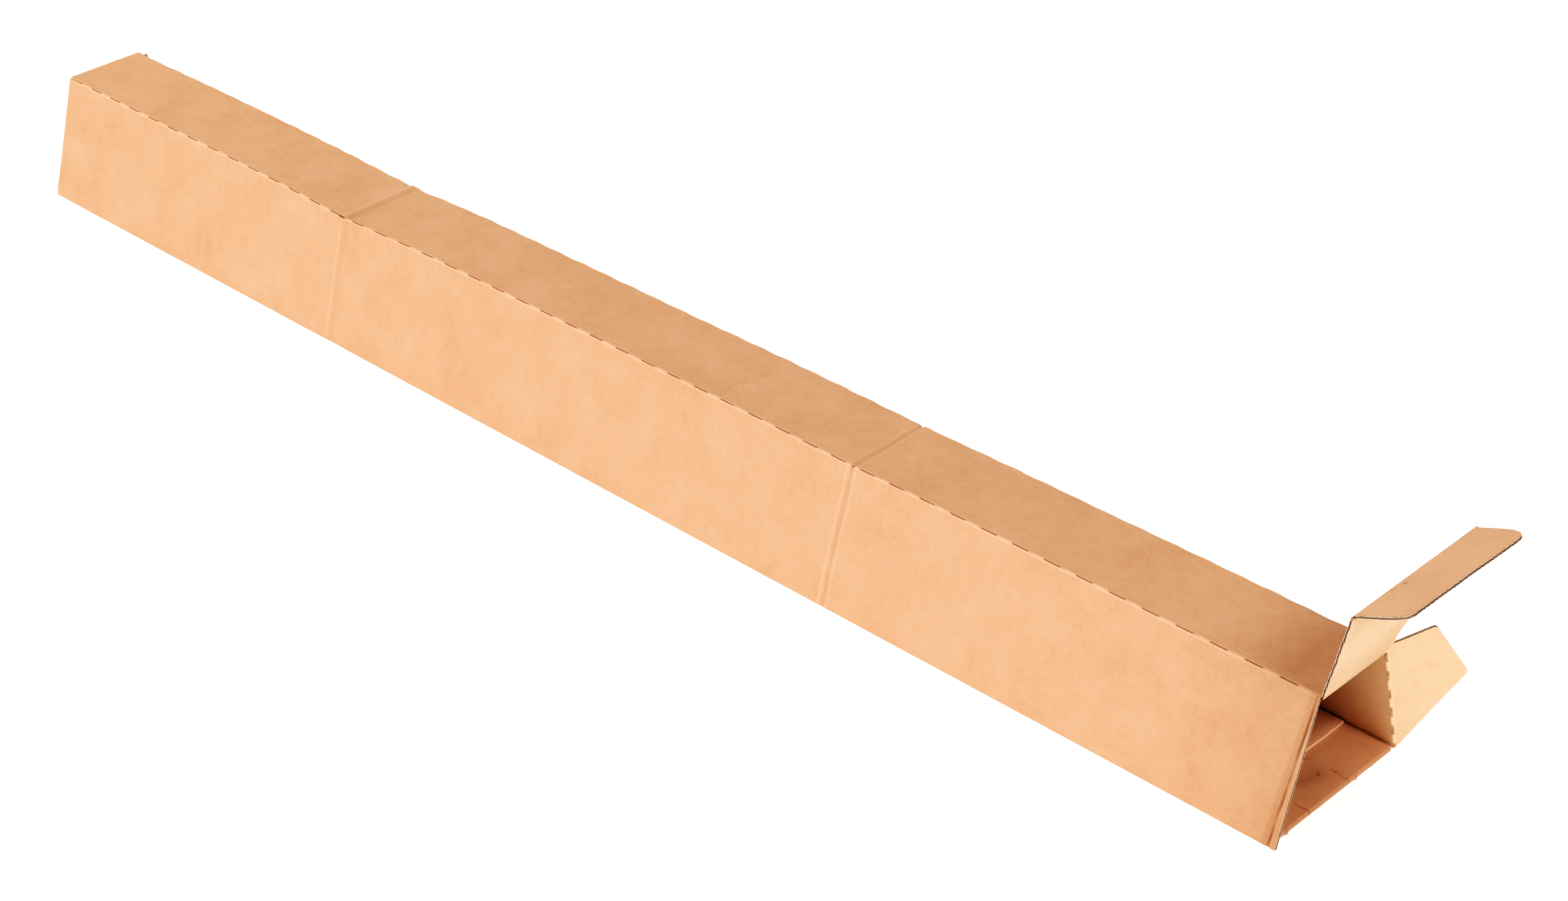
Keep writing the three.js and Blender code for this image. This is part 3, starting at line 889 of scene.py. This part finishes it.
def build_lid(name, body, slotn, replaces, hinge, turn, mirror):
    """turn: angle of the lid's direction from +Z towards +X, degrees"""
    b = Builder(name)
    a = math.radians(turn)
    dv = Vector((math.sin(a), 0, math.cos(a)))
    wv = Vector((math.cos(a), 0, -math.sin(a)))
    inner_w = not mirror

    def P(u, v, off):
        bow = 0.0
        if v > 2 and v < LIDL - 2:
            k = math.sin(math.pi * min(1, max(0, (v - 2) / (LIDL - 4))))
            bow = (0.35 * n3(u, v, 21, 0.03) + 0.1 * n3(u, v, 5, 0.12)) * k
        o = off + bow
        vv = v
        if v >= LIDL - 1e-6 and ((off > 0) == inner_w):
            vv = v - 1.35
        q = hinge + dv * vv + wv * o
        return (q.x, u + q.y, q.z)

    def wearf(u, v, inner):
        w = so = 0.0
        if inner:
            # painted shade on the cream face: a dark band along the hinge, and the lower part of the lid darker, fading
            # out by 40 mm up
            so += 0.16 * math.exp(-((v - 1.2) / 1.1) ** 2) + 0.13 * (1 - smooth(4.0, 40.0, v))
            # painted shade in the angle where the tongue folds over
            so += 0.10 * math.exp(-((v - LIDL + 1.8) / 1.2) ** 2)
            # painted highlight: a light line just above the hinge
            w += 0.25 * math.exp(-((v - 3.4) / 1.0) ** 2)
        else:
            w += 0.35 * math.exp(-((v - LIDL) / 1.4) ** 2)
            # painted shade on the brown face along the hinge, in the corner it makes with the top
            so += 0.18 * math.exp(-((v - 1.0) / 1.2) ** 2)
        return w, so

    pts = closed_loop(LID)
    kinds = []
    for i, p in enumerate(pts):
        q = pts[(i + 1) % len(pts)]
        kinds.append("nose" if p[1] == 0 and q[1] == 0 else "socket" if p[1] == LIDL and q[1] == LIDL else "cut")
    # P already pulls the inner face back at the tongue; P2 gives the unshifted points
    def P2(u, v, off):
        q = hinge + dv * v + wv * off
        return (q.x, u + q.y, q.z)

    slab2(b, pts, kinds, P, P2, inner_w, wearf)
    o = b.finish(body, slotn, replaces=replaces)
    weld(o)
    return o


def slab2(b, pts, kinds, P, P2, inner_w, wearf, grid=3.0):
    """slab() called with P; P2 is not used"""
    pass
    def PP(u, v, off, P=P, P2=P2):
        return P(u, v, off)
    slab(b, pts, kinds, PP, inner_w, grid=grid, wearf=wearf)


def build_tongue(name, body, slotn, replaces, hinge, dirdeg, mirror):
    """dirdeg: the tongue's direction above the horizontal, towards the outside (near) or the inside (far)"""
    b = Builder(name)
    a = math.radians(dirdeg)
    dv = Vector((math.cos(a), 0, math.sin(a)))
    wv = Vector((math.sin(a), 0, -math.cos(a)))
    inner_w = not mirror

    def P(u, v, off):
        k = smooth(1, 8, v)
        bow = (0.30 * n3(u, v, 31, 0.035) + 0.10 * n3(u, v, 6, 0.12)) * k
        q = hinge + dv * v + wv * (off + bow)
        return (q.x, u * (1 - 0.012 * smooth(0, 4, v)) + q.y, q.z)

    def wearf(u, v, inner):
        w = so = 0.0
        if not inner:
            # painted light: the near tongue's brown face is lightened all over (0.34); the band at the fold is worn
            w += (0.0 if mirror else 0.34) + 0.15 * math.exp(-(v / 1.6) ** 2)
            if not mirror:
                for cu, cv in ((-13.5, 3.4), (-22.0, 2.0)):
                    so += 0.5 * math.exp(-((u - cu) / 1.4) ** 2 - ((v - cv) / 0.7) ** 2)
        return w, so

    pts = closed_loop(TONGUE_PTS)
    kinds = ["nose" if p[1] == 0 and pts[(i + 1) % len(pts)][1] == 0 else "cut" for i, p in enumerate(pts)]
    slab(b, pts, kinds, P, inner_w, wearf=wearf, grid=2.2)
    o = b.finish(body, slotn, replaces=replaces)
    weld(o)
    return o


# ------------------------------------------------------------------ dust flaps
def build_dust(b, side, theta, outline):
    """side +1 near, -1 far; theta: turned out from the wall plane (negative: folded in)."""
    zl, zh = 0.0, H
    iy = lambda z: WB - SL * z - T / CW
    low = Vector((side * (XE - 4.8), iy(0), 0))
    high = Vector((side * (XE - 2.4), iy(H), H))
    up = (high - low).normalized()
    out = Vector((0, CW, SW))
    along = Vector((side, 0, 0))
    along = (along - up * along.dot(up)).normalized()
    out = (out - up * out.dot(up)).normalized()
    th = math.radians(theta)
    rad = T / 2 + 0.25
    sg = 1 if theta > 0 else -1

    def P(d, s, off):
        """d from the fold, s along it; off +T/2 is the cream face"""
        arc = rad * abs(th)
        if d <= 0:
            c, dirn, ang = 0.0, 0.0, 0.0
            x, y = d, 0.0
        elif d < arc:
            ang = d / rad
            x, y = rad * math.sin(ang), sg * rad * (1 - math.cos(ang))
        else:
            ang = abs(th)
            x = rad * math.sin(ang) + (d - arc) * math.cos(ang)
            y = sg * (rad * (1 - math.cos(ang)) + (d - arc) * math.sin(ang))
        # the cream face is on the side away from `out`
        nx, ny = sg * math.sin(ang), -math.cos(ang)
        mid_y = T / 2  # the centre of the wall lies this far out from its inner face
        bow = 0.35 * n3(d, s, 40, 0.03) * smooth(2, 10, d)
        ox = x + nx * (off + bow)
        oy = y + mid_y + ny * (off + bow)
        q = low + up * s + along * ox + out * oy
        dy, dz, _ = drift(q.x, q.y, min(q.z, H)) if side > 0 else (0, 0, 0)
        return (q.x, q.y + dy * smooth(0, 6, q.z), max(q.z, 0.02))

    def wearf(d, s, inner):
        w = so = 0.0
        t = ((s + 3.0) / 14.6) % 1.0
        gap = smooth(0.0, 0.05, t) * (1 - smooth(0.50, 0.56, t))
        wb = 0.18 * n3(s, 3, 3, 0.25)
        if inner:
            # painted highlight: a light line along the crease 1.45 mm from the fold; the second term lightens the worn
            # crease between the cut dashes
            w += 0.35 * math.exp(-((d - 1.45 + wb) / 0.34) ** 2) + 0.35 * (1 - gap) * math.exp(-((d - 0.8) / 0.5) ** 2)
            so += (0.62 + 0.35 * n3(s, 9, 1, 0.5)) * gap * math.exp(-((d - 0.72 + wb) / 0.42) ** 2)
            # painted shade: a thin dark line along the fold
            so += 0.30 * math.exp(-((d - 0.12) / 0.25) ** 2)
        else:
            so += 0.3 * math.exp(-((d - 0.8) / 0.9) ** 2)
        return w, so

    pts = closed_loop(outline)
    kinds = []
    for i, p in enumerate(pts):
        q = pts[(i + 1) % len(pts)]
        kinds.append("plain" if p[0] <= 0.01 and q[0] <= 0.01 else "cut")
    extra = []
    if side > 0:
        s = 0.9
        while s < 81.6:
            for d in (0.12, 0.3, 0.5, 0.72, 0.95, 1.15, 1.35, 1.6, 2.0, 2.6):
                if inside(pts, d + 0.05, s) and inside(pts, d, s - 0.5):
                    extra.append((d, s))
            s += 0.62
    # u x v must point to +off (the cream side): (d, s) has along x up = -out for the near side
    w_dir = along.cross(up).dot(-out)
    if w_dir < 0:
        def PQ(a, c, off):
            return P(a, c, -off)
        slab(b, pts, kinds, PQ, False, wearf=wearf, grid=2.4, flute_axis=0, extra=extra)
    else:
        slab(b, pts, kinds, P, True, wearf=wearf, grid=2.4, flute_axis=0, extra=extra)


# ------------------------------------------------------------------ turned-in floor flap
def build_floor(b, side, near):
    """The end flap of the base, folded in flat, brown side up, and the layer on it."""
    x0 = 496.25
    r0 = 1.62                     # outer radius of the fold
    depth = 66.0
    ylo, yhi = (-48.6, 49.3)

    def path(d, off):
        """d along the sheet from the start of the fold; off 0 outer face, T inner"""
        r = r0 - off
        arc = math.pi * r0
        if d <= arc:
            a = d / r0
            return (x0 + r * math.sin(a), r0 - r * math.cos(a))
        return (x0 - (d - arc), r0 + r)

    ds = [math.pi * r0 * i / 10 for i in range(11)]
    d = ds[-1]
    while d < depth:
        d += 1.0 if d < 36 else 4.0
        ds.append(d)
    m = int((yhi - ylo) / (1.15 if near else 3.0))
    ys = [ylo + (yhi - ylo) * i / m for i in range(m + 1)]

    def tear(y):
        """the nose is a little ragged: small nubs where it was cut free"""
        t = 0.0
        for c, h, w in ((18.0, 0.8, 0.9), (-40.4, 1.1, 1.1), (-12.0, 0.2, 2.0), (33.0, 0.25, 2.5)):
            t += h * math.exp(-((y - c) / w) ** 2)
        return t

    def look(x, y):
        """lightening and darkening of the upper face from marks, painted shade and painted light, x measured back from
        the box's end
        """
        w = so = 0.0
        if near:
            # painted shade: a soft dark patch about 20 mm back from the end, over a slight dip
            so += 0.34 * math.exp(-((x - 20) / 10) ** 2 - ((y + 3) / 13) ** 2) * (0.7 + 0.6 * n3(x, y, 3, 0.12))
            so += 0.85 * math.exp(-((x - 17.6) / 0.7) ** 2 - ((y - 5.9) / 0.8) ** 2)
            # dotted crease
            t = (x - 2.6) / 13.1
            if -0.02 < t < 1.02:
                yy = 12.0 + 1.9 * t
                so += 0.55 * math.exp(-((y - yy) / 0.55) ** 2) * (0.35 + 0.65 * (math.sin(x * 2.6) > 0.1))
            # a crease: painted shade in its groove, and a lighter line beside it
            t = (x - 3.1) / 9.0
            if -0.02 < t < 1.02:
                so += 0.35 * math.exp(-((y + 21.0) / 0.6) ** 2)
                w += 0.25 * math.exp(-((y + 19.9) / 0.5) ** 2)
            # torn lip: a cream sliver, and painted shade just behind it
            t = (y - 11.0) / 2.9
            if -0.3 < t < 1.3:
                cx = 28.9 - 2.4 * t
                w += 0.8 * math.exp(-((x - cx) / 0.5) ** 2) * smooth(-0.3, 0, t) * (1 - smooth(1, 1.3, t))
                so += 0.6 * math.exp(-((x - cx - 1.0) / 0.5) ** 2) * smooth(-0.3, 0, t) * (1 - smooth(1, 1.3, t))
            w += 0.08 * math.exp(-((x - 5.2) / 1.5) ** 2) * (0.6 + 0.7 * n3(y, 2, 2, 0.2))
            # painted light: the right part of the flap near the end is lighter
            w += 0.22 * smooth(-12.0, 40.0, y) * (1 - smooth(8.0, 34.0, x))
        return w, so

    rows_o, rows_i = [], []
    for d in ds:
        ro, ri = [], []
        for y in ys:
            x, z = path(d, 0.0)
            back_d = XE - x
            w, so = look(back_d, y)
            if near:
                # painted shade: the lower, downward-facing part of the nose fold is darker
                so += 0.24 * (1 - smooth(2.6, 6.5, d))
            rise = 0.0
            if near and d > math.pi * r0:
                rise = 0.30 * n3(x, y, 11, 0.05) + 0.5 * math.exp(-((back_d - 20) / 12) ** 2 - ((y + 3) / 18) ** 2) * -0.4
                t = (back_d - 2.6) / 13.1
                if 0 < t < 1:
                    rise -= 0.22 * math.exp(-((y - 12.0 - 1.9 * t) / 0.7) ** 2)
                if 3.1 < back_d < 12.1:
                    rise -= 0.2 * math.exp(-((y + 21.0) / 0.8) ** 2)
                rise = max(rise, -0.35)
            push = tear(y) * math.sin(min(math.pi, d / r0)) if d < math.pi * r0 and near else 0.0
            ro.append(b.vert((side * (x + push), y, max(z + rise, 0.0)), (y, d), w, so))
            x, z = path(d, T)
            ri.append(b.vert((side * x, y, z + rise * 0.5), (y, d)))
        rows_o.append(ro)
        rows_i.append(ri)
    b.grid(rows_o, 0, flip=(side < 0))
    b.grid(rows_i, 1, flip=(side > 0))
    for j in (0, len(ys) - 1):
        for a in range(len(ds) - 1):
            q = (rows_o[a][j], rows_o[a + 1][j], rows_i[a + 1][j], rows_i[a][j])
            b.face(q if (j == 0) == (side > 0) else q[::-1], 2)
    for a in (0, len(ds) - 1):
        for j in range(len(ys) - 1):
            q = (rows_o[a][j], rows_o[a][j + 1], rows_i[a][j + 1], rows_i[a][j])
            b.face(q if (a != 0) == (side > 0) else q[::-1], 2)
    # the inner layer: its cut edge is the pale line across the floor
    z0, z1 = 2 * r0 + 0.02, 2 * r0 + 0.02 + T
    n = 97
    ys = [ylo + (yhi - ylo) * i / n for i in range(n + 1)]

    def F(s, off, inset):
        wob = 0.35 * n3(s, 4, 4, 0.06) + 0.12 * n3(s, 9, 4, 0.5)
        return (side * (XE - 32.2 + wob - inset), s, z0 + off + 0.15 * n3(s, 2, 2, 0.05))

    if near:
        # pressed almost shut where it was sheared, so mostly liner shows
        rows = []
        prof = [(0.0, 0.10), (0.35, 0.0), (0.62, 0.12), (0.9, 0.10), (T - 0.25, 0.0), (T, 0.16)]
        for y in ys:
            rows.append([b.vert(F(y, o, i), (y, i), 0.0 if 0.5 < o < 1.0 else 0.75, 0.0) for o, i in prof])
        for a, c in zip(rows, rows[1:]):
            for k in range(len(prof) - 1):
                b.face((a[k], c[k], c[k + 1], a[k + 1]), 1)
        top0 = [r[-1] for r in rows]
    else:
        lo = [b.vert((side * (XE - 32.2), y, z0), (y, 0)) for y in ys]
        top0 = [b.vert((side * (XE - 32.2), y, z1), (y, 0)) for y in ys]
        for k in range(len(ys) - 1):
            q = (lo[k], lo[k + 1], top0[k + 1], top0[k])
            b.face(q if side > 0 else q[::-1], 2)
    prev = top0
    # painted shade: the inner layer's top darkens further in, from 28 to 50 mm back from the end
    for x in (40, 50, 62, 72):
        row = [b.vert((side * (XE - x), y, z1 + 0.12 * n3(x, y, 5, 0.05)), (y, x), 0.0, 0.42 * smooth(28.0, 50.0, x)) for y in ys]
        for k in range(len(ys) - 1):
            q = (prev[k], prev[k + 1], row[k + 1], row[k])
            b.face(q if side > 0 else q[::-1], 0)
        prev = row
    low = [b.vert((side * (XE - 72), y, T + 0.03), (y, 80)) for y in ys]
    for k in range(len(ys) - 1):
        q = (prev[k], prev[k + 1], low[k + 1], low[k])
        b.face(q if side > 0 else q[::-1], 0)


# ------------------------------------------------------------------ assemble
body = build_tube()
build_dust(body, 1, 60, [(0, 0.4), (6.0, 5.6), (40.6, 37.2), (42.2, 39.4), (42.1, 41.0), (28.6, 80.2), (27.6, 81.8), (26.2, 82.4), (0, 82.2)])
build_dust(body, -1, -90, [(0, 14), (36, 44), (38, 48), (27, 76), (0, 80)])
build_floor(body, 1, True)
build_floor(body, -1, False)
tube = body.finish("body", "box_body", replaces=("box_body",))
weld(tube)

near_hinge = Vector((AX_X, 0, AX_Z))
a = math.radians(LEAN)
near_tip = near_hinge + Vector((math.sin(a), 0, math.cos(a))) * LIDL
build_lid("carton_near_lid", "near_lid", "near_lid", ("near_lid",), near_hinge, LEAN, False)
build_tongue("carton_near_tongue", "near_tongue", "near_tongue", ("near_tongue",), near_tip, RISE, False)
far_hinge = Vector((-AX_X, 0, AX_Z))
far_tip = far_hinge + Vector((0, 0, -LIDL))
build_lid("carton_far_lid", "far_lid", "far_lid", ("far_lid",), far_hinge, 180, True)
build_tongue("carton_far_tongue", "far_tongue", "far_tongue", ("far_tongue",), far_tip, 21, True)

# ------------------------------------------------------------------ floor and light
def floor():
    me = bpy.data.meshes.new("studio_floor")
    s = 14.0
    me.from_pydata([(-s, -s, 0), (s, -s, 0), (s, s, 0), (-s, s, 0)], [], [(0, 1, 2, 3)])
    o = bpy.data.objects.new("studio_floor", me)
    scene.collection.objects.link(o)
    m, nt, b = new_mat("studio_floor")
    b.inputs["Roughness"].default_value = 0.9
    b.inputs["Base Color"].default_value = (0.90, 0.90, 0.90, 1)
    b.inputs["Emission Color"].default_value = (1, 1, 1, 1)
    b.inputs["Emission Strength"].default_value = 0.44
    me.materials.append(m)


floor()


def area(name, loc, aim, size, power, color=(1, 1, 1)):
    d = bpy.data.lights.new(name, "AREA")
    d.shape = "RECTANGLE"
    d.size, d.size_y = size
    d.energy = power
    d.color = color
    o = bpy.data.objects.new(name, d)
    o.location = loc
    o.rotation_mode = "QUATERNION"
    o.rotation_quaternion = (Vector(aim) - Vector(loc)).to_track_quat("-Z", "Y")
    scene.collection.objects.link(o)
    return o


w = bpy.data.worlds.new("studio")
w.use_nodes = True
w.node_tree.nodes["Background"].inputs[0].default_value = (1, 1, 1, 1)
w.node_tree.nodes["Background"].inputs[1].default_value = 0.43
scene.world = w
area("key", (-0.35, -2.6, 1.15), (-0.3, 0.0, 0.05), (2.6, 1.4), 44)
area("front", (2.4, -0.5, 2.0), (0.45, 0.0, 0.1), (1.0, 1.0), 39)
area("top_far", (-1.6, 0.2, 1.7), (-0.5, 0.0, 0.05), (1.3, 1.3), 24.5, (1.0, 0.985, 0.91))
scene.view_settings.view_transform = "Standard"
scene.view_settings.look = "None"
scene.view_settings.exposure = 0.0
scene.view_settings.gamma = 1.0
# the photograph's tone: deep shadows, a soft shoulder
scene.view_settings.use_curve_mapping = True
tone = scene.view_settings.curve_mapping
tone.extend = "HORIZONTAL"
tone.white_level = (1.2, 1.2, 1.2)
line = tone.curves[3]
CURVE = [(0.0, 0.0), (0.056, 0.003), (0.089, 0.010), (0.116, 0.020), (0.168, 0.050), (0.225, 0.10), (0.311, 0.20),
         (0.422, 0.35), (0.532, 0.50), (0.695, 0.70), (0.832, 0.85), (0.943, 0.97), (1.0, 1.0)]
CURVE = [(x / 1.2, 0.943 * y) for x, y in CURVE] + [(0.93, 1.0), (1.0, 1.0)]
line.points[0].location = CURVE[0]
line.points[1].location = CURVE[-1]
for pt in CURVE[1:-1]:
    line.points.new(*pt)
for pt in line.points:
    pt.handle_type = "AUTO_CLAMPED"
tone.update()
